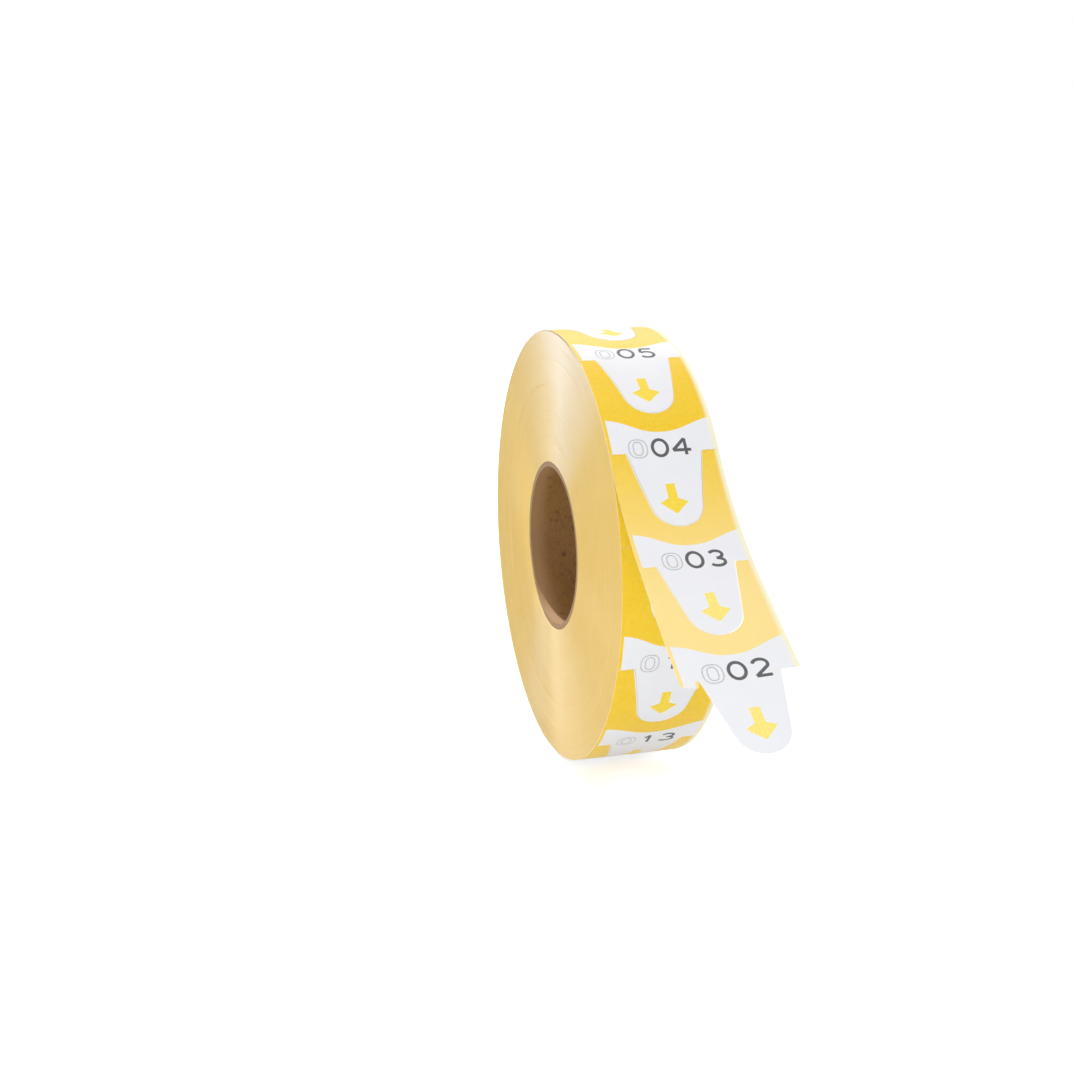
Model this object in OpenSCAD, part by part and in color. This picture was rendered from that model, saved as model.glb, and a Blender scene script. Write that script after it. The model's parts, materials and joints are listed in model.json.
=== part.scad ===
// A roll of die-cut queue tickets on a paperboard core, with its free end standing out.
// The origin is the centre of the core's bore. X runs along the bore, -Y is the front
// and +Z is up. The tape leaves the roll at the front and its last ticket is 002.

/* [Roll] */
// Outside diameter of the wound roll
roll_d = 137; // [120:1:150]
// Width of the ticket tape
tape_w = 33; // [28:0.5:44]

/* [Core] */
// Inside diameter of the paperboard core
core_bore_d = 50.8; // [38:0.1:76.2]
// Length of the core along its axis
core_w = 32.5; // [24:0.5:48]
// Thickness of the ply that lines the bore
inner_ply_t = 0.5; // [0.3:0.05:1]
// Thickness of the ply in the middle of the core's wall
middle_ply_t = 0.6; // [0.3:0.05:1]
// Thickness of the ply that the tape is wound on
outer_ply_t = 0.5; // [0.3:0.05:1]

/* [Winding] */
// Diameter at which the winding steps sideways
wound_step_d = 103; // [90:1:112]
// How far the turns inside that diameter stand to the right
wound_step = 0.15; // [0:0.05:0.5]
// Thickness of the ticket paper
paper_t = 0.14; // [0.08:0.01:0.18]
// Air left between one turn and the next
turn_gap = 0.03; // [0.02:0.01:0.1]

/* [Ticket] */
// Length of tape from one ticket to the next
ticket_pitch = 36.7; // [33:0.1:42]
// How far the tongue reaches below the shoulders
tongue_len = 23.7; // [18:0.1:28]
// Width of the tongue where it leaves the shoulders
tongue_root_w = 22.4; // [18:0.1:25]
// Radius of the tongue's round tip
tongue_tip_r = 7.6; // [5:0.1:8.5]
// Radius of the die-cut corner between shoulder and tongue
root_fillet_r = 0.8; // [0.4:0.1:1.5]
// Width of the cut that the die leaves between two tickets
die_gap = 0.2; // [0.19:0.01:0.3]

/* [Perforation] */
// Paper ties left uncut along each shoulder
ties_per_shoulder = 3; // [2:1:5]
// Width of one tie along the perforation
tie_w = 0.6; // [0.3:0.1:1]
// Thickness of one tie
tie_d = 0.1; // [0.06:0.01:0.12]

/* [Free end] */
// Angle above horizontal, seen from the axis, where the tape leaves the roll
tail_angle = 35.6; // [20:0.1:55]
// Radius of the bend in ticket 003 as it springs away from the roll
tail_bend_r = 117; // [80:1:200]

/* [Hidden] */
$fn = 360;
too_far = 4 * roll_d;

roll_r = roll_d / 2;
core_r = core_bore_d / 2;
core_outer_r = core_r + inner_ply_t + middle_ply_t + outer_ply_t;
wound_step_r = wound_step_d / 2;

// The tape is one spiral: its radius falls by turn_pitch in a turn.
turn_pitch = paper_t + turn_gap;
pitch_deg = ticket_pitch / roll_r * 180 / PI;
spiral_shift = turn_pitch / (2 * PI);
first_on_roll = 4;
last_on_roll = 16;
spiral_step_deg = 2;

// Angle of the perforation under ticket n, and of the last ticket's top edge
function perforation_deg(n) = tail_angle + (n - first_on_roll) * pitch_deg;
last_top_deg = perforation_deg(last_on_roll + 1);
function tape_r(deg) = roll_r - turn_pitch * (deg - tail_angle) / 360;

// The tongue's side touches its round tip: side_deg is the side's slope.
half_w = tape_w / 2;
tip_s = tongue_len - tongue_tip_r;
side_deg = acos(tongue_tip_r / norm([tongue_root_w / 2, tip_s])) - atan2(tip_s, tongue_root_w / 2);
side_reach = tip_s * sin(side_deg) + tongue_tip_r;
fillet_x = (side_reach + root_fillet_r * (1 - sin(side_deg))) / cos(side_deg);

// Right half of the line that the die cuts, grown sideways by g: x across, s down the tape
function tongue_half(g) = concat(
    [for (i = [0:6]) let (a = i / 6 * (90 - side_deg))
        [fillet_x - (root_fillet_r - g) * sin(a), root_fillet_r - (root_fillet_r - g) * cos(a)]],
    [for (i = [0:16]) let (a = side_deg + i / 16 * (90 - side_deg))
        [(tongue_tip_r + g) * cos(a), tip_s + (tongue_tip_r + g) * sin(a)]]);
// The same points from last to first less the last few, on the other side, or further down
function reversed(points, leave = 0) = [for (i = [len(points) - 1 - leave:-1:0]) points[i]];
function across(points) = [for (p = points) [-p.x, p.y]];
function moved(points, s) = [for (p = points) [p.x, p.y + s]];

// Outline of a ticket in the flat, with s = 0 at its own perforation
ticket_outline = concat(
    [[-half_w, die_gap / 2 - ticket_pitch], [-half_w, -die_gap / 2]],
    across(tongue_half(-die_gap / 2)),
    reversed(tongue_half(-die_gap / 2), 1),
    [[half_w, -die_gap / 2], [half_w, die_gap / 2 - ticket_pitch]],
    moved(tongue_half(die_gap / 2), -ticket_pitch),
    moved(across(reversed(tongue_half(die_gap / 2), 1)), -ticket_pitch));

// Free end: ticket 003 bends the other way about a line in front of the roll,
// and ticket 002 is flat. fall_deg is the tape's slope below horizontal.
bend_centre = (roll_r + tail_bend_r) * [0, -cos(tail_angle), sin(tail_angle)];
bend_deg = ticket_pitch / tail_bend_r * 180 / PI;
fall_deg = 90 - tail_angle - bend_deg;
flat_start = bend_centre + tail_bend_r * [0, sin(fall_deg), -cos(fall_deg)];

// A sheet of the given outline wrapped on a tube: face_r is the radius of its printed
// side, s_mid the outline's line that comes on top, and way is 1 or -1 with or against +Y.
module wrapped_sheet(outline, low_r, high_r, face_r, s_mid, way) {
    intersection() {
        rotate([0, 90, 0]) difference() {
            cylinder(r = high_r, h = 2 * tape_w, center = true);
            cylinder(r = low_r, h = 3 * tape_w, center = true);
        }
        linear_extrude(height = 2 * high_r)
            polygon([for (p = outline) [p.x, way * face_r * sin((p.y - s_mid) / face_r * 180 / PI)]]);
    }
}

// A ticket on the roll, on an arc centred off the axis so that its radius falls as the spiral's
module sheet_on_roll(n) {
    s_mid = (tongue_len - ticket_pitch) / 2;
    mid_deg = perforation_deg(n) - s_mid / roll_r * 180 / PI;
    face_r = tape_r(mid_deg);
    rotate([90 - mid_deg, 0, 0]) translate([0, -spiral_shift, 0])
        wrapped_sheet(ticket_outline, face_r - paper_t, face_r, face_r, s_mid, -1);
}

// The same outline on the bend, for the ticket whose perforation is start below the bend's
// beginning; the die cuts square to the sheet at the outline's line s_mid
module sheet_on_bend(start, s_mid) {
    at_deg = (start + s_mid) / tail_bend_r * 180 / PI;
    translate(bend_centre) rotate([-90 - tail_angle - at_deg, 0, 0])
        wrapped_sheet(ticket_outline, tail_bend_r, tail_bend_r + paper_t, tail_bend_r, s_mid, 1);
}

// And on the flat, for the ticket whose perforation is start below the bend's end
module sheet_on_flat(start) {
    translate(flat_start) rotate([fall_deg, 0, 0])
        translate([0, 0, -paper_t]) linear_extrude(height = paper_t)
            polygon([for (p = ticket_outline) [p.x, -start - p.y]]);
}

// Everything above or below the perforation at the top or at the foot of ticket 003
module beyond_roll(side) {
    rotate([90 - tail_angle, 0, 0]) translate([0, side * too_far / 2, 0]) cube(too_far, center = true);
}
module beyond_bend(side) {
    translate(flat_start) rotate([fall_deg, 0, 0])
        translate([0, side * too_far / 2, 0]) cube(too_far, center = true);
}

module ring(outer_r, inner_r, width) {
    rotate([0, 90, 0]) difference() {
        cylinder(r = outer_r, h = width, center = true);
        cylinder(r = inner_r, h = 2 * width, center = true);
    }
}

module core_inner_ply() {
    color("saddlebrown") ring(core_r + inner_ply_t, core_r, core_w);
}
module core_middle_ply() {
    color("peru") ring(core_outer_r - outer_ply_t, core_r + inner_ply_t, core_w);
}
module core_outer_ply() {
    color("sienna") ring(core_outer_r, core_outer_r - outer_ply_t, core_w);
}

module wound_turns_inner() {
    color("burlywood") translate([wound_step, 0, 0]) ring(wound_step_r, core_outer_r, tape_w);
}

// The outer turns end in the spiral itself, one layer under the tickets that are modelled,
// with the step where ticket 017 would begin
module wound_turns_outer() {
    color("navajowhite") rotate([90, 0, -90]) difference() {
        linear_extrude(height = tape_w, center = true)
            polygon([for (i = [0:spiral_step_deg:360]) let (deg = last_top_deg - 360 + i, r = tape_r(deg + 360))
                [r * cos(deg), r * sin(deg)]]);
        cylinder(r = wound_step_r, h = 2 * tape_w, center = true);
    }
}

module roll_ticket(n) {
    color("gold") sheet_on_roll(n);
}
module ticket_004() {
    color("gold") {
        intersection() {
            sheet_on_roll(first_on_roll);
            beyond_roll(1);
        }
        intersection() {
            sheet_on_bend(0, tongue_len / 2);
            beyond_roll(-1);
        }
    }
}
module ticket_003() {
    color("gold") {
        intersection() {
            sheet_on_bend(ticket_pitch, -ticket_pitch / 2);
            beyond_bend(1);
        }
        intersection() {
            sheet_on_flat(0);
            beyond_bend(-1);
        }
    }
}
module ticket_002() {
    color("gold") sheet_on_flat(ticket_pitch);
}

// Ties across one perforation, as short fibres on the line that the paper folds about
module tie_row() {
    shoulder_w = half_w - fillet_x;
    for (side = [-1, 1], i = [0.5:1:ties_per_shoulder])
        translate([side * (fillet_x + shoulder_w * i / ties_per_shoulder), 0, -paper_t / 2])
            rotate([0, 90, 0]) cylinder(d = tie_d, h = tie_w, center = true, $fn = 24);
}
module perforation_ties_002() {
    color("khaki") translate(flat_start) rotate([fall_deg, 0, 0]) tie_row();
}
module perforation_ties_003() {
    color("khaki") rotate([90 - tail_angle, 0, 0]) translate([0, 0, roll_r]) tie_row();
}
module perforation_ties_roll() {
    color("khaki") for (n = [first_on_roll + 1:last_on_roll])
        rotate([90 - perforation_deg(n), 0, 0]) translate([0, 0, tape_r(perforation_deg(n))]) tie_row();
}

core_inner_ply();
core_middle_ply();
core_outer_ply();
wound_turns_inner();
wound_turns_outer();
ticket_002();
ticket_003();
ticket_004();
roll_ticket(5);  // ticket_005
roll_ticket(6);  // ticket_006
roll_ticket(7);  // ticket_007
roll_ticket(8);  // ticket_008
roll_ticket(9);  // ticket_009
roll_ticket(10);  // ticket_010
roll_ticket(11);  // ticket_011
roll_ticket(12);  // ticket_012
roll_ticket(13);  // ticket_013
roll_ticket(14);  // ticket_014
roll_ticket(15);  // ticket_015
roll_ticket(16);  // ticket_016
perforation_ties_002();
perforation_ties_003();
perforation_ties_roll();
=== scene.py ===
import json
import bpy
import numpy as np
from math import acos, atan2, cos, hypot, pi, radians, sin
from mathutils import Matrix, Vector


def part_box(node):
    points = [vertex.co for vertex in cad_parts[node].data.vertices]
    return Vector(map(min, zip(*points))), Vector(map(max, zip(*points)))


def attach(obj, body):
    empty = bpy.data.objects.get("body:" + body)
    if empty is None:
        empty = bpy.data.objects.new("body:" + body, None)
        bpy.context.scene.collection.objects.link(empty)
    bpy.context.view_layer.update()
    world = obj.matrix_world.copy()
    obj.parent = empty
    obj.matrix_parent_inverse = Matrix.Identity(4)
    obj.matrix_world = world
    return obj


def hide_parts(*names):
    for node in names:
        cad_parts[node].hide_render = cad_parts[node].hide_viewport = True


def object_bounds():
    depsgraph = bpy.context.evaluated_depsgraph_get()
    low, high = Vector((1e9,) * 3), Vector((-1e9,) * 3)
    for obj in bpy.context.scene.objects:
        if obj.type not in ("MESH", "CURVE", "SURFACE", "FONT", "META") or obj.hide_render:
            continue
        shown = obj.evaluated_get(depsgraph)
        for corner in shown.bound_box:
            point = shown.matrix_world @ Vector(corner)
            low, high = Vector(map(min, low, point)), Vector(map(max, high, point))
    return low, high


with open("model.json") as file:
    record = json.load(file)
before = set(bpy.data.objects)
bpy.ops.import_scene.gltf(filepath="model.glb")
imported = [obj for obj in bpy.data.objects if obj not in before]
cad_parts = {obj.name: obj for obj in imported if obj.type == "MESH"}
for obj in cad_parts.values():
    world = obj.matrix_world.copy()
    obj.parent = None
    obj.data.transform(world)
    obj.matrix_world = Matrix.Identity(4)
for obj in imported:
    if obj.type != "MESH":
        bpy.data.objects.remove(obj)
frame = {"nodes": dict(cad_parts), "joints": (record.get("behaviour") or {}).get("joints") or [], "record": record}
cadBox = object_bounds()
mm = 0.001

# The tape's run, from the joints: peel_004 and fold_003 sit on the perforations above and
# below ticket 004, and tear_002 points along the free end.
joints = {joint["name"]: joint for joint in frame["joints"]}
foldY, foldZ = joints["fold_003"]["pos_m"][1:]
peelY, peelZ = joints["peel_004"]["pos_m"][1:]
alongY, alongZ = joints["tear_002"]["axis"][1:]
paperThickness = 0.14 * mm
leaveAngle = atan2(foldZ, -foldY)                      # from the front up, where the tape leaves
pitchAngle = atan2(peelZ, -peelY) - leaveAngle
rollRadius = hypot(foldY, foldZ) + paperThickness / 2  # out to the printed side
ticketPitch = rollRadius * pitchAngle
turnPitch = (hypot(foldY, foldZ) - hypot(peelY, peelZ)) / pitchAngle * 2 * pi
bendAngle = atan2(-alongY, -alongZ) - leaveAngle       # how far ticket 003 bends outwards
bendRadius = ticketPitch / bendAngle
tapeWidth = 2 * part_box("wound_turns_outer")[1].x
halfWidth = tapeWidth / 2
print("tape: roll radius %.2f mm, pitch %.2f mm, bend radius %.1f mm"
      % (rollRadius / mm, ticketPitch / mm, bendRadius / mm))


# Camera, its distance and aim counted in roll radii

camera = dict(azimuth=-16.12, elevation=14.09, distance=6.9814, aimX=-0.3119, aimZ=0.0464, lens=50.28)

turnLeft, lookDown = radians(camera["azimuth"]), radians(camera["elevation"])
cameraObject = bpy.data.objects.new("camera", bpy.data.cameras.new("camera"))
bpy.context.scene.collection.objects.link(cameraObject)
cameraObject.data.lens = camera["lens"]
cameraObject.data.clip_start = 0.01
cameraObject.location = (
    rollRadius * (camera["aimX"] + camera["distance"] * sin(turnLeft) * cos(lookDown)),
    rollRadius * (-camera["distance"] * cos(turnLeft) * cos(lookDown)),
    rollRadius * (camera["aimZ"] + camera["distance"] * sin(lookDown)))
cameraObject.rotation_euler = (pi / 2 - lookDown, 0, turnLeft)
bpy.context.scene.camera = cameraObject
bpy.context.scene.view_settings.view_transform = "Standard"


# Meshes from grids. A solid is its points, its quads and, quad by quad, the number of its material.

def gridQuads(rows, columns, wrapRows=False, wrapColumns=False):
    # the four corner points of each cell of a grid, row by row
    i, j = np.meshgrid(np.arange(rows - (not wrapRows)), np.arange(columns - (not wrapColumns)), indexing="ij")
    here, right = i * columns + j, i * columns + (j + 1) % columns
    below, across = (i + 1) % rows * columns + j, (i + 1) % rows * columns + (j + 1) % columns
    return np.stack([here, right, across, below], -1).reshape(-1, 4)


def slab(top, bottom, wrap=False):
    # a thin solid: the top grid, the bottom grid turned over, and a wall between their borders
    rows, columns = top.shape[:2]
    count = rows * columns
    cover = gridQuads(rows, columns, wrapRows=wrap)
    index = np.arange(count).reshape(rows, columns)
    if wrap:
        borders = [np.append(index[:, 0], index[0, 0]), np.append(index[:, -1], index[0, -1])[::-1]]
    else:
        borders = [np.concatenate([index[:, 0], index[-1, 1:], index[-2::-1, -1], index[0, -2::-1]])]
    walls = [np.stack([b[:-1], b[1:], b[1:] + count, b[:-1] + count], -1) for b in borders]
    points = np.concatenate([top.reshape(-1, 3), bottom.reshape(-1, 3)])
    quads = np.concatenate([cover, cover[:, ::-1] + count, *walls])
    side = np.repeat([0, 1], [len(cover), len(quads) - len(cover)])
    return points, quads, side


def closedRing(grid):
    # a solid from a grid whose rows and columns both close on themselves
    quads = gridQuads(*grid.shape[:2], wrapRows=True, wrapColumns=True)
    return grid.reshape(-1, 3), quads, np.zeros(len(quads), int)


def painted(solid, index):
    # the same solid with one material on all its faces
    points, quads, side = solid
    return points, quads, 0 * side + index


def joined(solids):
    # several solids as one: the points one after another, the quads counted on
    starts = np.cumsum([0] + [len(points) for points, quads, side in solids[:-1]])
    return (np.concatenate([points for points, quads, side in solids]),
            np.concatenate([quads + start for (points, quads, side), start in zip(solids, starts)]),
            np.concatenate([side for points, quads, side in solids]))


def outwards(points, quads):
    # six times the signed volume; if it is negative the faces point inwards and are turned
    a, b, c, d = (points[quads[:, k]] - points.mean(0) for k in range(4))
    volume = (np.cross(a, b) * c).sum() + (np.cross(a, c) * d).sum()
    return quads if volume > 0 else quads[:, ::-1]


def aboutRoll(x, radius, angle):
    # points round the X axis, their angle counted from the front up
    return np.stack([x, -radius * np.cos(angle), radius * np.sin(angle)], -1)


def newPiece(name, solid, materials, body, replaces=(), uv=None, run=None, sharp=40):
    # a smooth mesh with edges sharp from an angle on; uv and run are the point's place on its
    # ticket and along the tape
    points, quads, side = solid
    quads = outwards(points, quads)
    mesh = bpy.data.meshes.new(name)
    mesh.vertices.add(len(points))
    mesh.vertices.foreach_set("co", points.astype(np.float32).ravel())
    mesh.loops.add(quads.size)
    mesh.loops.foreach_set("vertex_index", quads.astype(np.int32).ravel())
    mesh.polygons.add(len(quads))
    mesh.polygons.foreach_set("loop_start", np.arange(0, quads.size, 4, dtype=np.int32))
    mesh.polygons.foreach_set("material_index", side.astype(np.int32))
    mesh.update(calc_edges=True)
    mesh.polygons.foreach_set("use_smooth", np.ones(len(quads), bool))
    mesh.set_sharp_from_angle(angle=radians(sharp))
    if uv is not None:
        layer = mesh.uv_layers.new(name="ticketPlace")
        layer.uv.foreach_set("vector", uv[quads.ravel()].astype(np.float32).ravel())
    if run is not None:
        places = mesh.attributes.new("tapeRun", "FLOAT", "POINT")
        places.data.foreach_set("value", run.astype(np.float32).ravel())
    for material in materials:
        mesh.materials.append(material)
    piece = bpy.data.objects.new(name, mesh)
    bpy.context.scene.collection.objects.link(piece)
    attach(piece, body)
    if replaces:
        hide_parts(*replaces)


# Materials

def newMaterial(name, roughness, specular):
    # a material with its tree and its shader, the constants set on the shader's own sockets
    material = bpy.data.materials.new(name)
    material.use_nodes = True
    shader = material.node_tree.nodes["Principled BSDF"]
    shader.inputs["Roughness"].default_value = roughness
    shader.inputs["Specular IOR Level"].default_value = specular
    return material, material.node_tree, shader


def feed(tree, socket, value):
    # a link from another socket, or a plain value
    if isinstance(value, bpy.types.NodeSocket):
        tree.links.new(value, socket)
    else:
        socket.default_value = value


def node(tree, kind, settings={}, **inputs):
    # a node with its settings; its inputs go by name, or by number as i0, i1 and so on
    made = tree.nodes.new("ShaderNode" + kind)
    for key, value in settings.items():
        setattr(made, key, value)
    for key, value in inputs.items():
        numbered = key[0] == "i" and key[1:].isdigit()
        feed(tree, made.inputs[int(key[1:])] if numbered else made.inputs[key], value)
    return made


def maths(tree, operation, *values):
    # one step of arithmetic on numbers or sockets
    inputs = {"i%d" % k: value for k, value in enumerate(values)}
    return node(tree, "Math", dict(operation=operation), **inputs).outputs[0]


def plus(tree, first, second):
    return maths(tree, "ADD", first, second)


def minus(tree, first, second):
    return maths(tree, "SUBTRACT", first, second)


def times(tree, first, second):
    return maths(tree, "MULTIPLY", first, second)


def larger(tree, first, second):
    return maths(tree, "MAXIMUM", first, second)


def hypotenuse(tree, first, second):
    # the root of the sum of two squares
    return maths(tree, "SQRT", plus(tree, times(tree, first, first), times(tree, second, second)))


def mixed(tree, factor, first, second, blend="MIX"):
    # colours from first to second by factor
    made = node(tree, "Mix", dict(data_type="RGBA", blend_type=blend))
    for socket, value in zip((made.inputs[0], made.inputs[6], made.inputs[7]), (factor, first, second)):
        feed(tree, socket, value)
    return made.outputs[2]


def stepUp(tree, value, low, high):
    # 0 below low, 1 above high and a straight rise between
    return node(tree, "MapRange", dict(clamp=True), i0=value, i1=low, i2=high).outputs[0]


def colour(red, green, blue):
    # a colour as it shows on screen, 0 to 255, in the linear values that shaders take
    shown = np.array([red, green, blue]) / 255
    linear = np.where(shown <= 0.04045, shown / 12.92, ((shown + 0.055) / 1.055) ** 2.4)
    return (*linear.tolist(), 1)


def darker(shade, share):
    # a colour at a share of its light
    return tuple(c * share for c in shade[:3]) + (1,)


def fibres(tree, scale, detail=4, vector=None, rough=0.6):
    # cloudy noise over the object's own place, or over another vector
    place = vector or node(tree, "TexCoord").outputs["Object"]
    return node(tree, "TexNoise", Vector=place, Scale=scale, Detail=detail, Roughness=rough).outputs[0]


def bump(tree, shader, height, distance, strength):
    # a relief too fine for the mesh
    made = node(tree, "Bump", Height=height, Distance=distance, Strength=strength)
    tree.links.new(made.outputs[0], shader.inputs["Normal"])


# Tape

# Ticket sizes, as in the part; cut is the line that the die leaves between two tickets. Tongues
# stand off by lift, more or less from ticket to ticket by liftVaries. The points are those of the
# sheet's grid, across the parts of the die line and down.
ticket = dict(tongueLength=23.7 * mm, rootWidth=22.4 * mm, tipRadius=7.6 * mm, rootFillet=0.8 * mm, cut=0.12 * mm,
              lift=0.05 * mm, liftVaries=0.03 * mm, last=16,
              tipPoints=14, sidePoints=17, filletPoints=6, shoulderPoints=7, rows=27)
# How far ticket 002 turns about the strip, and drifts sideways, in one ticket's length; its left
# shoulder was torn off below the perforation, from tornRoot at the tongue to tornCorner at the
# edge, ragged by two waves. From printEnd on, its print there carries on downwards unchanged.
tail = dict(twist=radians(4.6), sway=0.7 * mm, tornRoot=2.1 * mm, tornCorner=1.0 * mm, rootBlend=0.5 * mm,
            ragged=0.06 * mm, raggedWave=9.1 / mm, fine=0.04 * mm, fineWave=23.3 / mm, printEnd=-0.15 * mm)

cut, tipRadius, rootFillet = ticket["cut"], ticket["tipRadius"], ticket["rootFillet"]
tongueLength = ticket["tongueLength"]
tipCentre = tongueLength - tipRadius


def slopeOfSide(halfRoot, length, radius):
    # the angle of a line that touches the tip's circle and meets the shoulders at half the root's width
    return acos(radius / hypot(halfRoot, length - radius)) - atan2(length - radius, halfRoot)


sideSlope = slopeOfSide(ticket["rootWidth"] / 2, tongueLength, tipRadius)
sideReach = tipCentre * sin(sideSlope) + tipRadius
filletX = (sideReach + rootFillet * (1 - sin(sideSlope))) / cos(sideSlope)


def perforation(number):
    # way down the tape from ticket 004's perforation to that of this ticket
    return (4 - number) * ticketPitch


def tapePoint(x, s, height):
    # x across and s down the tape, height above its printed side. On the roll a spiral about X,
    # whose radius falls by turnPitch in a turn; on ticket 003 an arc about a line in front of the
    # roll; beyond it straight, turned about its middle line in step with s and swaying sideways
    # by s^1.5.
    x, s, height = np.broadcast_arrays(x, s, height)
    angle = leaveAngle - s / rollRadius
    onRoll = aboutRoll(x, rollRadius - turnPitch * (angle - leaveAngle) / (2 * pi) + height, angle)
    inward = np.array([0, cos(leaveAngle), -sin(leaveAngle)])
    downward = np.array([0, -sin(leaveAngle), -cos(leaveAngle)])
    bend = (np.clip(s, 0, ticketPitch) / bendRadius)[..., None]
    toFace = inward * np.cos(bend) + downward * np.sin(bend)
    along = downward * np.cos(bend) - inward * np.sin(bend)
    run = np.maximum(s - ticketPitch, 0)[..., None]
    turn = tail["twist"] * run / ticketPitch
    sway = tail["sway"] * (run / ticketPitch) ** 1.5
    sideways = np.array([1, 0, 0])
    x, height = x[..., None], height[..., None]
    free = (toFace * bendRadius - inward * (rollRadius + bendRadius) + along * run + sideways * sway
            + x * (sideways * np.cos(turn) - toFace * np.sin(turn))
            - height * (toFace * np.cos(turn) + sideways * np.sin(turn)))
    return np.where((s < 0)[..., None], onRoll, free)


def ticketPoint(number, x, s, height):
    # s down from the ticket's own perforation; its tongue stands off by the square of the way to the tip
    lift = ticket["lift"] + ticket["liftVaries"] * sin(2.3 * number)
    lift = lift * (np.clip(s, 0, tongueLength) / tongueLength) ** 2
    return tapePoint(x, s + perforation(number), height + lift)


def ticketSlab(number, x, s, top, bottom, wrap=False):
    # a thin solid on a ticket, between two heights above its printed side
    return slab(ticketPoint(number, x, s, top), ticketPoint(number, x, s, bottom), wrap)


def dieLine(x, grow):
    # how far down the die cuts at x: round tip, straight side, root fillet, shoulder; grown sideways by grow
    x = np.abs(x)
    tip = tipCentre + np.sqrt(np.maximum((tipRadius + grow) ** 2 - x ** 2, 0))
    side = tipCentre + (tipRadius + grow - x * cos(sideSlope)) / sin(sideSlope)
    root = rootFillet - np.sqrt(np.maximum((rootFillet - grow) ** 2 - (filletX - x) ** 2, 0))
    tipEnd, sideEnd = (tipRadius + grow) * cos(sideSlope), filletX - (rootFillet - grow) * cos(sideSlope)
    return np.where(x < tipEnd, tip, np.where(x < sideEnd, side, np.where(x < filletX, root, grow)))


# places across the ticket where the die line needs a point
tipX = tipRadius * np.sin(np.linspace(0, pi / 2 - sideSlope, ticket["tipPoints"]))
sideX = np.linspace(tipX[-1], filletX - rootFillet * cos(sideSlope), ticket["sidePoints"])
rootX = filletX - rootFillet * np.sin(np.linspace(pi / 2 - sideSlope, 0, ticket["filletPoints"]))
shoulderX = np.linspace(filletX, halfWidth, ticket["shoulderPoints"])
halfX = np.concatenate([tipX, sideX[1:], rootX[1:], shoulderX[1:]])
acrossTicket = np.concatenate([-halfX[:0:-1], halfX])


# Paper: a soft cloudiness in the colour and a fine felt of fibres
paper = dict(cloudScale=180, cloudTone=(0.94, 0.94, 0.95, 1), cloudShare=0.35,
             feltScale=5200, feltHeight=0.03 * mm, feltStrength=0.35)


def paperFinish(tree, shader, base):
    place = node(tree, "TexCoord").outputs["Object"]
    cloud = stepUp(tree, fibres(tree, paper["cloudScale"], 3, place), 0.3, 0.7)
    toned = mixed(tree, cloud, base, paper["cloudTone"], "MULTIPLY")
    tree.links.new(mixed(tree, paper["cloudShare"], base, toned), shader.inputs["Base Color"])
    felt = fibres(tree, paper["feltScale"], 6, place, 0.7)
    bump(tree, shader, felt, paper["feltHeight"], paper["feltStrength"])


# Print of a ticket: x and s of the ticket in millimetres come from the sheet's own map. Along the
# free end the yellow turns paler between two places down the tape: a painted wash of light, not the ink's colour.
# wander: how far the print of one ticket lies to the right.
ticketPrint = dict(yellow=colour(246, 201, 36), speckedYellow=colour(250, 211, 60), speckScale=900,
                   paintedWashYellow=colour(255, 226, 146), paintedWashFrom=-6, paintedWashTo=46,
                   white=colour(240, 239, 242), cream=colour(252, 244, 208), shift=-0.15, stripe=1.0,
                   tongueLength=23.9, tipRadius=7.85, halfRoot=11.5, bandTop=11.4, bandDip=4.95,
                   dipLeft=0.31, dipRight=0.36, dipPower=2.4, margin=15.2, marginEdge=0.6,
                   inkEdge=0.07, wander={15: 2.3 * mm})


def tongueMask(tree, x, s):
    # 1 inside the printed tongue: past the side's end the distance from the tip's centre, above it
    # the distance from the middle square to the side, against the tip's radius
    radius, length, edge = ticketPrint["tipRadius"], ticketPrint["tongueLength"], ticketPrint["inkEdge"]
    slope = slopeOfSide(ticketPrint["halfRoot"], length, radius)
    x = maths(tree, "ABSOLUTE", x)
    t = minus(tree, s, length - radius)
    sideways = plus(tree, times(tree, x, cos(slope)), times(tree, t, sin(slope)))
    lengthways = minus(tree, times(tree, t, cos(slope)), times(tree, x, sin(slope)))
    reach = hypotenuse(tree, sideways, larger(tree, lengthways, 0.0))
    return stepUp(tree, minus(tree, radius, reach), -edge, edge)


def bandMask(tree, x, s):
    # 1 in the white band above the perforation, right of the left stripe; the band's upper border is
    # level at the edges and dips in the middle as exp(-distance^power)
    edge = ticketPrint["inkEdge"]
    fromMiddle = maths(tree, "DIVIDE", x, tapeWidth / mm)
    left = larger(tree, times(tree, fromMiddle, -1.0), 0.0)
    right = larger(tree, fromMiddle, 0.0)
    distance = plus(tree, maths(tree, "DIVIDE", left, ticketPrint["dipLeft"]),
                    maths(tree, "DIVIDE", right, ticketPrint["dipRight"]))
    fall = maths(tree, "POWER", distance, ticketPrint["dipPower"])
    dip = times(tree, maths(tree, "EXPONENT", times(tree, fall, -1.0)), ticketPrint["bandDip"])
    border = minus(tree, dip, ticketPrint["bandTop"])
    inBand = stepUp(tree, minus(tree, s, border), -edge, edge)
    notStripe = stepUp(tree, plus(tree, x, halfWidth / mm - ticketPrint["stripe"]), -edge, edge)
    return times(tree, inBand, notStripe)


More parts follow.
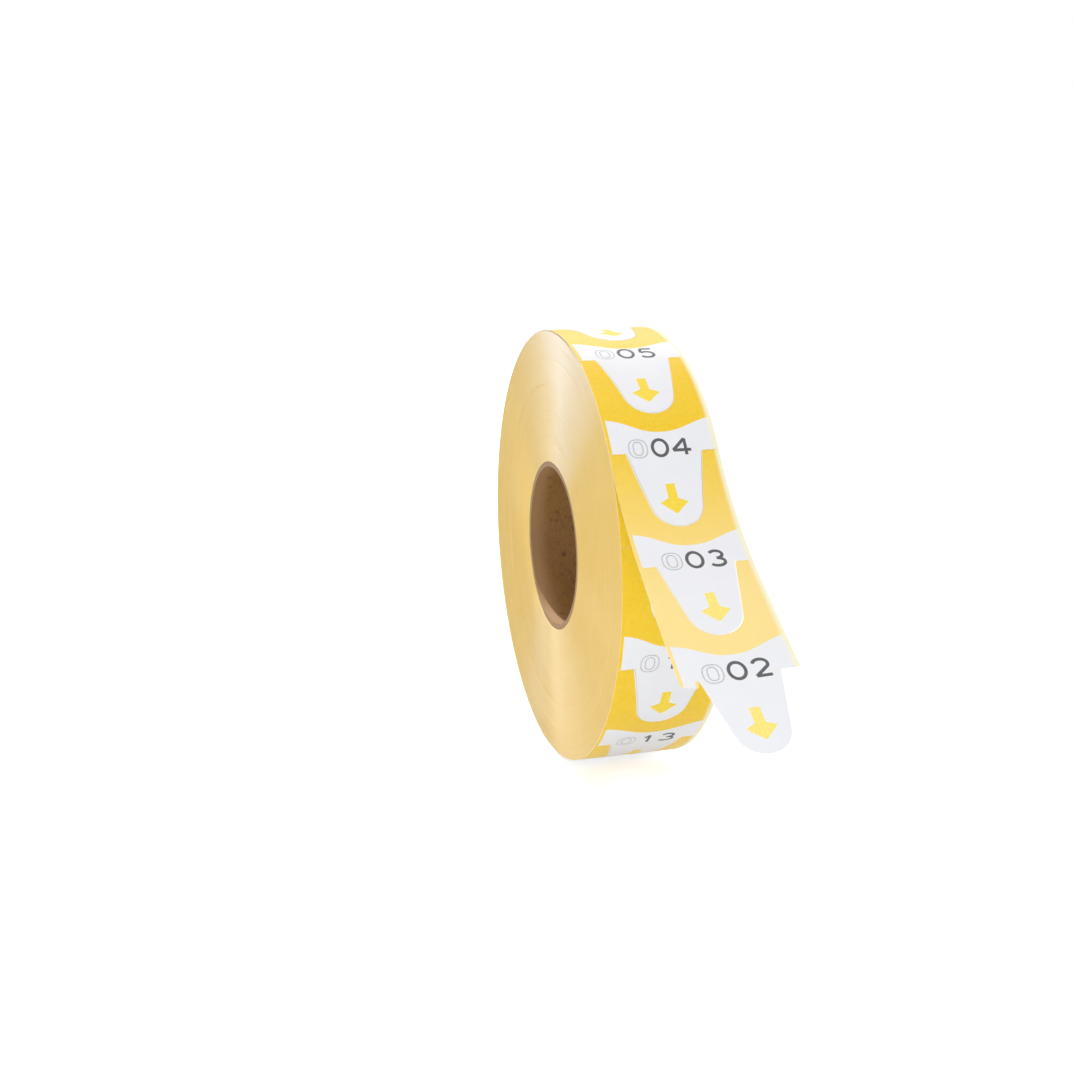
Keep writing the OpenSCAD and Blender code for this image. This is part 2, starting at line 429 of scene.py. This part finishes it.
def printedPaper():
    # yellow, bare in the band, on the ticket's own tongue and where the next tongue fits in, with a
    # cream margin on the right
    material, tree, shader = newMaterial("printedPaper", 0.40, 0.3)
    edge, margin, marginEdge = ticketPrint["inkEdge"], ticketPrint["margin"], ticketPrint["marginEdge"]
    place = node(tree, "SeparateXYZ", i0=node(tree, "UVMap", dict(uv_map="ticketPlace")).outputs[0])
    x, s = place.outputs[0], place.outputs[1]
    printX = minus(tree, x, ticketPrint["shift"])
    onBody, onTongue = stepUp(tree, s, edge, -edge), stepUp(tree, s, -edge, edge)
    band = times(tree, bandMask(tree, x, s), onBody)
    ownTongue = times(tree, tongueMask(tree, printX, s), onTongue)
    nextTongue = times(tree, tongueMask(tree, printX, plus(tree, s, ticketPitch / mm)), onBody)
    bare = larger(tree, larger(tree, band, ownTongue), nextTongue)
    speck = stepUp(tree, fibres(tree, ticketPrint["speckScale"], 5), 0.35, 0.75)
    ink = mixed(tree, speck, ticketPrint["yellow"], ticketPrint["speckedYellow"])
    # painted wash of light: down the tape the yellow is mixed towards a paler one on the free end
    run = node(tree, "Attribute", dict(attribute_name="tapeRun")).outputs["Fac"]
    paintedWashShare = stepUp(tree, run, ticketPrint["paintedWashFrom"], ticketPrint["paintedWashTo"])
    ink = mixed(tree, paintedWashShare, ink, ticketPrint["paintedWashYellow"])
    inMargin = stepUp(tree, x, margin - marginEdge, margin + marginEdge)
    face = mixed(tree, bare, ink, ticketPrint["white"])
    paperFinish(tree, shader, mixed(tree, inMargin, face, ticketPrint["cream"]))
    return material


def plainPaper(name, shade, roughness=0.6):
    # unprinted stock, a little whiter in flecks
    material, tree, shader = newMaterial(name, roughness, 0.35)
    paperFinish(tree, shader, mixed(tree, fibres(tree, 700), shade, colour(255, 250, 240)))
    return material


printed = printedPaper()
paperBack = plainPaper("paperBack", colour(240, 236, 226))


def tornEdge(x):
    # how far below the perforation the last ticket's left shoulder ends: a straight line from the
    # tongue's root to the corner, a little ragged
    out = np.clip((-x - filletX) / (halfWidth - filletX), 0, 1)
    length = tail["tornRoot"] + (tail["tornCorner"] - tail["tornRoot"]) * out
    length = length + tail["ragged"] * np.sin(x * tail["raggedWave"])
    length = length + tail["fine"] * np.sin(x * tail["fineWave"] + 1)
    return length * np.clip((-x - filletX) / tail["rootBlend"] + 1, 0, 1)


def ticketSheet(number, body):
    # every column of the sheet is one pitch long, less the cut, from the notch down to the tongue
    name = "ticket_%03d" % number
    x = acrossTicket[None, :]
    low, high = dieLine(x, -cut / 2), dieLine(x, cut / 2) - ticketPitch
    if number == 2:
        low = np.maximum(low, tornEdge(x) * (x < -sideX[-1]))
    s = high + (low - high) * np.linspace(0, 1, ticket["rows"])[:, None]
    x = np.broadcast_to(x, s.shape)
    # the print carries on as bare band over what the torn shoulder kept of the ticket below
    printX = x - ticketPrint["wander"].get(number, 0)
    printS = np.where(x < -filletX, np.minimum(s, tail["printEnd"]), s)
    place = np.tile(np.stack([printX, printS], -1).reshape(-1, 2) / mm, (2, 1))
    run = np.tile((s + perforation(number)).ravel() / mm, 2)
    newPiece(name + "_sheet", ticketSlab(number, x, s, 0, -paperThickness), [printed, paperBack], body,
             [name], uv=place, run=run)


# Numbers and arrows: thin bands of ink that lie on the sheet

# Each cell is where a digit starts and how wide it is; hollowInset is how far the open nought's inner
# line lies inside its cell, across and up; ink stands proud by ink and reaches down by sunk. wander:
# how far the numbering head stood to the right of and below its place, ticket by ticket.
digits = dict(firstCell=(-9.8 * mm, 5.8 * mm), middleCell=(-3.05 * mm, 5.4 * mm), lastCell=(3.45 * mm, 5.5 * mm),
              height=6.0 * mm, foot=1.6 * mm, stroke=0.93 * mm, thin=0.36 * mm, hollowInset=(1.5 * mm, 0.95 * mm),
              ink=0.012 * mm, sunk=0.004 * mm, overlap=0.001 * mm,
              wander={3: (0.3 * mm, 0), 4: (-0.75 * mm, 0), 5: (-0.65 * mm, -1.8 * mm)})
# pale lists the tickets on the free end whose arrows take a paler yellow: a painted wash of light
arrow = dict(start=10.0 * mm, wing=14.6 * mm, wingTip=15.9 * mm, tip=19.5 * mm, middleX=0.1 * mm,
             shaft=1.4 * mm, wingWidth=4.2 * mm, point=0.25 * mm, rows=19, pale=(2, 3))


def arc(middle, radius, start, end, count=24):
    # points on an ellipse, angles in degrees from the right, up
    angle = np.radians(np.linspace(start, end, count))
    return np.stack([middle[0] + radius[0] * np.cos(angle), middle[1] + radius[1] * np.sin(angle)], -1)


def line(*points):
    # points along straight stretches, close enough together to follow the roll
    points = np.array(points, float)
    return np.concatenate([np.linspace(a, b, 9)[:-1] for a, b in zip(points[:-1], points[1:])] + [points[-1:]])


def oval(power):
    # an ellipse drawn out towards a rectangle: cosine and sine raised to 2 / power, their signs kept
    angle = np.linspace(0, 2 * pi, 49)
    wave = np.stack([np.cos(angle), np.sin(angle)], -1)
    return 0.5 + 0.5 * np.sign(wave) * np.abs(wave) ** (2 / power)


# Each digit is a list of strokes in a cell one wide and one high.
glyphs = {
    "hollow": [oval(2.5)],
    "0": [arc((0.5, 0.5), (0.5, 0.5), 0, 360, 49)],
    "1": [line((0.62, 0), (0.62, 1)), line((0.62, 1), (0.3, 0.72))],
    "2": [np.concatenate([arc((0.5, 0.7), (0.45, 0.3), 165, -35), line((0.87, 0.53), (0.06, 0))[1:]]),
          line((0.06, 0), (1, 0))],
    "3": [arc((0.46, 0.755), (0.42, 0.245), 150, -90), arc((0.46, 0.255), (0.48, 0.255), 90, -150)],
    "4": [line((0.74, 0), (0.74, 1)), line((0.74, 1), (-0.1, 0.3)), line((-0.1, 0.3), (1.08, 0.3))],
    "5": [line((0.92, 1), (0.18, 1)), line((0.18, 1), (0.1, 0.55)), arc((0.47, 0.32), (0.47, 0.32), 142, -148)],
    "6": [arc((0.5, 0.32), (0.48, 0.32), 0, 360, 41), arc((0.93, 0.36), (0.91, 0.64), 178, 106)],
    "7": [line((0.04, 1), (0.98, 1)), line((0.98, 1), (0.36, 0))],
    "8": [arc((0.5, 0.76), (0.4, 0.24), 0, 360, 41), arc((0.5, 0.26), (0.48, 0.26), 0, 360, 41)],
    "9": [arc((0.5, 0.68), (0.48, 0.32), 0, 360, 41), arc((0.07, 0.64), (0.91, 0.64), -2, -74)],
}


def ribbon(number, path, width, level):
    # a band of ink: the path shifted half its width to both sides, square to its own direction
    closed = np.allclose(path[0], path[-1])
    if closed:
        path = path[:-1]
        way = np.roll(path, -1, 0) - np.roll(path, 1, 0)
    else:
        way = np.gradient(path, axis=0)
    normal = np.stack([-way[:, 1], way[:, 0]], -1) / np.linalg.norm(way, axis=1)[:, None]
    sides = path[:, None, :] + normal[:, None, :] * width * np.array([-0.5, 0, 0.5])[None, :, None]
    return ticketSlab(number, sides[..., 0], sides[..., 1], digits["ink"] + level, -digits["sunk"], wrap=closed)


def digitStrokes(number, digit, cell, stroke, inset=None):
    # the glyph's strokes in the ticket's own x and s, kept inside the cell by half a stroke or the inset
    start, width = cell
    insetX, insetS = inset or (stroke / 2, stroke / 2)
    wanderX, wanderS = digits["wander"].get(number, (0, 0))
    strokes = []
    for k, path in enumerate(glyphs[digit]):
        x = start + wanderX + insetX + path[:, 0] * (width - 2 * insetX)
        s = digits["foot"] + wanderS - insetS - path[:, 1] * (digits["height"] - 2 * insetS)
        # each later stroke lies higher by overlap, so that no two of them share a surface
        strokes.append(ribbon(number, np.stack([x, s], -1), stroke, k * digits["overlap"]))
    return strokes


# printed ink: a little uneven, and thinner where the fibres stand proud
inkWear = dict(scale=2500, low=0.45, high=0.8, gain=1.35, lift=0.02)


def inkMaterial(name, shade):
    material, tree, shader = newMaterial(name, 0.5, 0.4)
    worn = stepUp(tree, fibres(tree, inkWear["scale"], 5), inkWear["low"], inkWear["high"])
    thinner = tuple(min(1, c * inkWear["gain"] + inkWear["lift"]) for c in shade[:3]) + (1,)
    paperFinish(tree, shader, mixed(tree, worn, shade, thinner))
    return material


darkInk = inkMaterial("darkInk", colour(84, 84, 86))
paleInk = inkMaterial("paleInk", colour(190, 190, 194))
yellowInk = inkMaterial("yellowInk", colour(250, 212, 60))
# a paler yellow for the arrows on the free end: a painted wash of light, as on the print there
paleYellowInk = inkMaterial("paleYellowInk", colour(253, 225, 118))


def ticketNumber(number, body):
    text = "%03d" % number
    stroke, thin = digits["stroke"], digits["thin"]
    dark = (digitStrokes(number, text[1], digits["middleCell"], stroke)
            + digitStrokes(number, text[2], digits["lastCell"], stroke))
    # the first nought is an open one: a thin line round its outside and one round its inside
    pale = (digitStrokes(number, "hollow", digits["firstCell"], thin)
            + digitStrokes(number, "hollow", digits["firstCell"], thin, digits["hollowInset"]))
    strokes = [painted(part, 0) for part in dark] + [painted(part, 1) for part in pale]
    newPiece("number_" + text, joined(strokes), [darkInk, paleInk], body)


def ticketArrow(number, body):
    # half widths down the arrow: shaft, sharp step out to the wings, straight in to the tip
    ways = np.array([arrow["start"], arrow["wing"], arrow["wingTip"], arrow["tip"]])
    halves = np.array([arrow["shaft"], arrow["shaft"], arrow["wingWidth"], arrow["point"]])
    s = np.unique(np.concatenate([np.linspace(arrow["start"], arrow["tip"], arrow["rows"]), ways]))
    half = np.interp(s, ways, halves)[:, None]
    wanderX = digits["wander"].get(number, (0, 0))[0]
    x = arrow["middleX"] + wanderX + half * np.array([-1, -0.33, 0.33, 1])
    s = np.broadcast_to(s[:, None], x.shape)
    solid = painted(ticketSlab(number, x, s, digits["ink"], -digits["sunk"]), 0)
    # the arrows on the free end take the paler yellow: a painted wash of light
    ink = paleYellowInk if number in arrow["pale"] else yellowInk
    newPiece("arrow_%03d" % number, solid, [ink], body)


for number in range(2, ticket["last"] + 1):
    body = "ticket_%03d" % number if number <= 4 else "roll"
    ticketSheet(number, body)
    ticketNumber(number, body)
    ticketArrow(number, body)
print("tickets: %d sheets with numbers and arrows" % (ticket["last"] - 1))


# Wound turns

# A turn's edge stands out by proud times its wander, kept between lowest and highest, with a groove
# to the next one. Near slackAt the outermost turns stand off by slack. sheenTurn: how far the knife's
# marks on the cut edges lean from square across the turns.
wound = dict(around=360, perRing=49, groove=0.05 * mm, proud=0.02 * mm, lowest=-0.08 * mm, highest=0.02 * mm,
             waves=5, drift=0.12, jitter=0.25, sheenTurn=radians(24),
             slack=0.45 * mm, slackAt=radians(80), slackWidth=radians(11),
             bandScale=420, lineScale=5200, cloudScale=60, lineShare=0.25, cloudShare=0.4)

ringAngle = np.linspace(0, 2 * pi, wound["around"], endpoint=False)


def edgeWander(rows, angle, rng):
    # how far each turn's edge stands out: a slow drift from turn to turn of a few low waves around
    field = np.zeros((rows, len(angle)))
    for waves in range(wound["waves"]):
        for phase in (0, pi / 2):
            walk = np.cumsum(rng.normal(size=rows)) * wound["drift"]
            walk -= np.linspace(walk[0], walk[-1], rows)
            size = walk + rng.normal(size=rows) * wound["jitter"]
            field += size[:, None] * np.cos(waves * angle + phase) / (1 + waves)
    return field


def woundRing(name, material, inner, outer, middleX, seed, replaces=()):
    # a closed ring whose side faces rise and fall once a turn, as cut paper edges do
    rng = np.random.default_rng(seed)
    rows = 2 * wound["perRing"] + 1
    share = np.linspace(0, 1, rows)[:, None]
    radius = inner + (outer - inner) * share + 0 * ringAngle
    groove = np.where(np.arange(rows) % 2 == 0, wound["groove"], 0)[:, None]
    sides = []
    for side in (-1, 1):
        stand = np.clip(edgeWander(rows, ringAngle, rng) * wound["proud"], wound["lowest"], wound["highest"])
        sides.append(aboutRoll(middleX + side * (halfWidth + stand - groove), radius, ringAngle))
    grid = np.concatenate([sides[0], sides[1][::-1]])
    newPiece(name, closedRing(grid), [material], "roll", replaces, sharp=80)


def woundEdges():
    # cut paper edges in concentric bands, from the radius about X; finest the turns themselves
    material, tree, shader = newMaterial("woundEdges", 0.32, 0.5)
    shader.inputs["Anisotropic"].default_value = 1.0
    place = node(tree, "TexCoord").outputs["Object"]
    split = node(tree, "SeparateXYZ", i0=place)
    radius = hypotenuse(tree, split.outputs[1], split.outputs[2])
    spread = node(tree, "CombineXYZ", i0=radius, i1=0.0, i2=0.0).outputs[0]
    bands = stepUp(tree, fibres(tree, wound["bandScale"], 5, spread, 0.65), 0.3, 0.7)
    turns = fibres(tree, wound["lineScale"], 2, spread, 0.8)
    lines = times(tree, stepUp(tree, turns, 0.35, 0.65), wound["lineShare"])
    cloud = stepUp(tree, fibres(tree, wound["cloudScale"], 3, place), 0.35, 0.7)
    base = mixed(tree, bands, colour(240, 197, 101), colour(243, 204, 113))
    base = mixed(tree, lines, base, colour(230, 183, 81))
    base = mixed(tree, times(tree, cloud, wound["cloudShare"]), base, colour(246, 209, 123))
    tree.links.new(base, shader.inputs["Base Color"])
    bump(tree, shader, turns, 0.04 * mm, 0.4)
    # the sheen is widest across the turns: along the way out from the axis, turned about X
    turned = node(tree, "VectorRotate", dict(rotation_type="X_AXIS"), Vector=place, Angle=-wound["sheenTurn"])
    tree.links.new(turned.outputs[0], shader.inputs["Tangent"])
    return material


def underTickets(angle):
    # the spiral one layer under the tickets, with its step where the next ticket would begin, and
    # near the top a bell-shaped slack where the outer turns stand off
    lastTop = leaveAngle + (ticket["last"] + 1 - 4) * pitchAngle
    turned = lastTop - (lastTop - angle) % (2 * pi)
    slack = wound["slack"] * np.exp(-((angle - wound["slackAt"]) / wound["slackWidth"]) ** 2)
    return rollRadius - turnPitch * (turned + 2 * pi - leaveAngle) / (2 * pi) - slack


# three rings inside the step, which stands a little to the right, and two outside it
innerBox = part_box("wound_turns_inner")
stepRadius, stepX = innerBox[1].z, (innerBox[0].x + innerBox[1].x) / 2
middleRadius = (stepRadius + rollRadius) / 2
innerRadii = np.linspace(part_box("core_outer_ply")[1].z, stepRadius, 4)
edges = woundEdges()
for k in range(3):
    woundRing("wound_turns_inner_%d" % (k + 1), edges, innerRadii[k], innerRadii[k + 1], stepX, 10 + k,
              ["wound_turns_inner"] if k == 0 else [])
woundRing("wound_turns_outer_1", edges, stepRadius, middleRadius, 0, 20)
woundRing("wound_turns_outer_2", edges, middleRadius, underTickets(ringAngle), 0, 21, ["wound_turns_outer"])
print("wound turns: 5 rings of %d turns" % wound["perRing"])


# Core

core = dict(around=300, along=28, seamAt=2.2, seamDepth=0.12 * mm, seamWidth=0.5 * mm, seamSlope=0.75,
            fray=0.06 * mm, frayWaves=(7, 19, 43, 71))
# worn: the colour near the tube's ends; on the inner ply a paler band at the bore's mouth, painted light, on the
# other two the tone of their end faces
plies = dict(
    core_inner_ply=dict(board="linerBoard", dark=colour(116, 78, 32), light=colour(142, 101, 50),
                        worn=colour(154, 117, 76), seed=31),
    core_middle_ply=dict(board="middleBoard", dark=colour(150, 112, 66), light=colour(170, 132, 86),
                         worn=colour(156, 118, 70), seed=32),
    core_outer_ply=dict(board="outerBoard", dark=colour(140, 104, 58), light=colour(160, 122, 76),
                        worn=colour(146, 108, 60), seed=33))


def corePly(name, material, inner, seam, seed):
    # a tube with slightly frayed ends; with a seam, a narrow groove winds along its bore as a helix
    low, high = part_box(name)
    outer = high.z
    rng = np.random.default_rng(seed)
    angle = np.linspace(0, 2 * pi, core["around"], endpoint=False)[None, :]
    x = np.linspace(low.x, high.x, core["along"])[:, None]
    bore = inner + 0 * x * angle
    if seam:
        seamAngle = core["seamAt"] + (x - low.x) / inner * core["seamSlope"]
        away = (angle - seamAngle + pi) % (2 * pi) - pi
        bore = bore + core["seamDepth"] * np.exp(-(away * inner / core["seamWidth"]) ** 2)
    fray = np.zeros((2, core["around"]))
    for waves in core["frayWaves"]:
        fray += np.cos(waves * angle + rng.uniform(0, 2 * pi, (2, 1))) * rng.uniform(0.3, 1, (2, 1)) / 2
    fray = -np.abs(fray) * core["fray"]
    x = x + 0 * angle
    x[0] -= fray[0]
    x[-1] += fray[1]
    # round the wall: along the bore, over the one end, back along the outside and over the other
    radius = np.concatenate([bore, [(bore[-1] + outer) / 2], np.full((2, core["around"]), outer),
                             [(bore[0] + outer) / 2]])
    out = np.concatenate([x, [x[-1] - 0.3 * fray[1]], x[-1:], x[:1], [x[0] + 0.3 * fray[0]]])
    newPiece(name + "_tube", closedRing(aboutRoll(out, radius, angle)), [material], "roll", [name], sharp=50)


# Board: long fibres, cloudy tone, darker flecks and smudges, and painted light at the bore's mouth, fading deeper
# in
board = dict(fibreStretch=(260, 90, 90), cloudScale=90, cloudShare=0.5, fleckScale=650, fleckShare=0.5,
             fleckDark=0.5, smudgeScale=120, smudgeShare=0.7, smudgeDark=0.35,
             paintedMouthLightFrom=10.2 * mm, paintedMouthLightTo=14.2 * mm, fibreHeight=0.08 * mm, fibreStrength=0.5)


def paperboard(name, dark, light, worn):
    material, tree, shader = newMaterial(name, 0.62, 0.4)
    place = node(tree, "TexCoord").outputs["Object"]
    stretched = node(tree, "Mapping", i0=place, Scale=board["fibreStretch"]).outputs[0]
    long = fibres(tree, 6, 6, stretched, 0.7)
    cloud = stepUp(tree, fibres(tree, board["cloudScale"], 4, place), 0.35, 0.7)
    fleck = stepUp(tree, fibres(tree, board["fleckScale"], 2, place, 0.4), 0.64, 0.7)
    smudge = stepUp(tree, fibres(tree, board["smudgeScale"], 2, place, 0.5), 0.66, 0.71)
    ends = maths(tree, "ABSOLUTE", node(tree, "SeparateXYZ", i0=place).outputs[0])
    base = mixed(tree, stepUp(tree, long, 0.3, 0.7), dark, light)
    base = mixed(tree, times(tree, cloud, board["cloudShare"]), base, light)
    base = mixed(tree, times(tree, fleck, board["fleckShare"]), base, darker(dark, board["fleckDark"]))
    base = mixed(tree, times(tree, smudge, board["smudgeShare"]), base, darker(dark, board["smudgeDark"]))
    # painted light: towards the tube's ends the colour turns to worn, paler at the bore's mouth where light comes
    # in
    base = mixed(tree, stepUp(tree, ends, board["paintedMouthLightFrom"], board["paintedMouthLightTo"]), base, worn)
    tree.links.new(base, shader.inputs["Base Color"])
    bump(tree, shader, long, board["fibreHeight"], board["fibreStrength"])
    return material


# the innermost ply starts at the bore that the part's mount states, each next one on the last
inner = frame["record"]["mounts"][0]["dims"]["r_mm"] * mm
for name, ply in plies.items():
    material = paperboard(ply["board"], ply["dark"], ply["light"], ply["worn"])
    corePly(name, material, inner, name == "core_inner_ply", ply["seed"])
    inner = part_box(name)[1].z
print("core: three plies")


# Perforations

fibre = plainPaper("tornFibre", colour(246, 243, 236), 0.8)
for name in ("perforation_ties_002", "perforation_ties_003", "perforation_ties_roll"):
    frame["nodes"][name].data.materials.clear()
    frame["nodes"][name].data.materials.append(fibre)

# stubs that narrow by taper, start as far above the edge as they are thick, and hang by droop and
# further towards their ends
torn = dict(perShoulder=3, rows=5, width=0.6 * mm, length=0.22 * mm, thickness=0.05 * mm, taper=0.55,
            uneven=0.02 * mm, droop=0.04 * mm, droopAtEnd=0.05 * mm)


def tornTies():
    # what is left of the ties under ticket 002: stubs that taper unevenly from the shoulder
    rng = np.random.default_rng(5)
    stubs = []
    shoulder = halfWidth - filletX
    for side in (-1, 1):
        for k in range(torn["perShoulder"]):
            middle = side * (filletX + shoulder * (k + 0.5) / torn["perShoulder"])
            edge = float(tornEdge(np.array(middle))) if side < 0 else -cut / 2
            down = np.linspace(0, 1, torn["rows"])[:, None]
            half = torn["width"] / 2 * (1 - torn["taper"] * down ** 1.5) * rng.uniform(0.85, 1.1)
            half = half + rng.normal(size=down.shape) * torn["uneven"]
            x = middle + half * np.array([-1, 0, 1])
            s = edge - torn["thickness"] + down * torn["length"] * rng.uniform(0.7, 1.3, (1, 3))
            height = -torn["droop"] - torn["droopAtEnd"] * ((s - edge) / torn["length"]) ** 2
            stubs.append(painted(ticketSlab(2, x, s, height, height - torn["thickness"]), 0))
    newPiece("torn_ties_002", joined(stubs), [fibre], "ticket_002")


tornTies()
print("perforations: ties and torn stubs")


# Floor and light

# A narrow strip overhead, a large soft box behind on the right, two on the left for the printed side
# and the cut edges, a cool one low behind for their sheen, one for the far side, and a narrow beam
# into the bore. Places, widths and heights are in metres, powers in watts.
light = dict(
    world=0.5,
    overhead=dict(at=(-0.10, 0.05, 0.95), width=0.05, height=0.50, power=3.7),
    rim=dict(at=(0.31, 0.77, 0.70), width=0.50, height=0.50, power=1.9),
    front=dict(at=(-0.30, -1.10, 0.12), width=0.70, height=0.70, power=1.8),
    side=dict(at=(-0.40, -0.33, -0.01), width=0.30, height=0.10, power=0.86, tint=(0.82, 0.93, 1.0)),
    back=dict(at=(-0.27, 1.065, 0.07), width=0.80, height=0.18, power=2.7, tint=(0.35, 0.59, 1.0)),
    right=dict(at=(0.70, 0.15, 0.0), width=0.40, height=0.40, power=1.4),
    bore=dict(at=(-0.106, 0.58, 0.66), to=(-0.0141, 0.004, -0.0245), cone=radians(2.4), narrow=0.18, soft=0.004,
              power=48))
ground = dict(size=12, below=0.02 * mm, shade=0.86, glow=0.62)


def floorMaterial():
    # pale floor that shows as white to the camera where nothing shades it
    material, tree, shader = newMaterial("paleFloor", 0.9, 0.0)
    shader.inputs["Base Color"].default_value = (ground["shade"],) * 3 + (1,)
    path = node(tree, "LightPath")
    seen = larger(tree, path.outputs["Is Camera Ray"], path.outputs["Is Glossy Ray"])
    glow = node(tree, "Emission", Color=(1, 1, 1, 1), Strength=times(tree, seen, ground["glow"]))
    both = node(tree, "AddShader", i0=shader.outputs[0], i1=glow.outputs[0])
    tree.links.new(both.outputs[0], tree.nodes["Material Output"].inputs[0])
    return material


bpy.ops.mesh.primitive_plane_add(size=ground["size"], location=(0, 0, cadBox[0].z - ground["below"]))
floor = bpy.context.object
floor.name = "floor"
floor.data.materials.append(floorMaterial())

# the world is white where it is seen or mirrored, and lights the roll at its own level
world = bpy.context.scene.world or bpy.data.worlds.new("world")
bpy.context.scene.world = world
world.use_nodes = True
sky = world.node_tree
path = node(sky, "LightPath")
seen = larger(sky, larger(sky, path.outputs["Is Camera Ray"], path.outputs["Is Glossy Ray"]),
              path.outputs["Is Transmission Ray"])
background = sky.nodes["Background"].inputs
background["Color"].default_value = (1, 1, 1, 1)
sky.links.new(plus(sky, light["world"], times(sky, seen, 1 - light["world"])), background["Strength"])


def newLamp(name, kind, at, to, power):
    # a lamp that looks from one point to another
    made = bpy.data.objects.new(name, bpy.data.lights.new(name, kind))
    bpy.context.scene.collection.objects.link(made)
    made.data.energy = power
    made.location = at
    way = np.subtract(at, to)
    made.rotation_euler = (atan2(hypot(way[0], way[1]), way[2]), 0, atan2(way[0], -way[1]))
    return made


def softBox(name, at, width, height, power, tint=(1, 1, 1)):
    # a box of light whose face is turned to the middle of the roll
    made = newLamp(name, "AREA", at, (0, 0, 0), power)
    made.data.shape = "RECTANGLE"
    made.data.size, made.data.size_y = width, height
    made.data.color = tint
    made.visible_camera = False


def beam(name, at, to, cone, narrow, soft, power):
    # a beam, flattened sideways, that slips past the side face into the bore and lights its floor near the end
    made = newLamp(name, "SPOT", at, to, power)
    made.data.spot_size, made.data.spot_blend = cone, 0.5
    made.data.shadow_soft_size = soft
    made.scale = (narrow, 1, 1)


for name in ("overhead", "rim", "front", "side", "back", "right"):
    softBox(name + "Lamp", **light[name])
beam("boreLamp", **light["bore"])
print("floor and light")
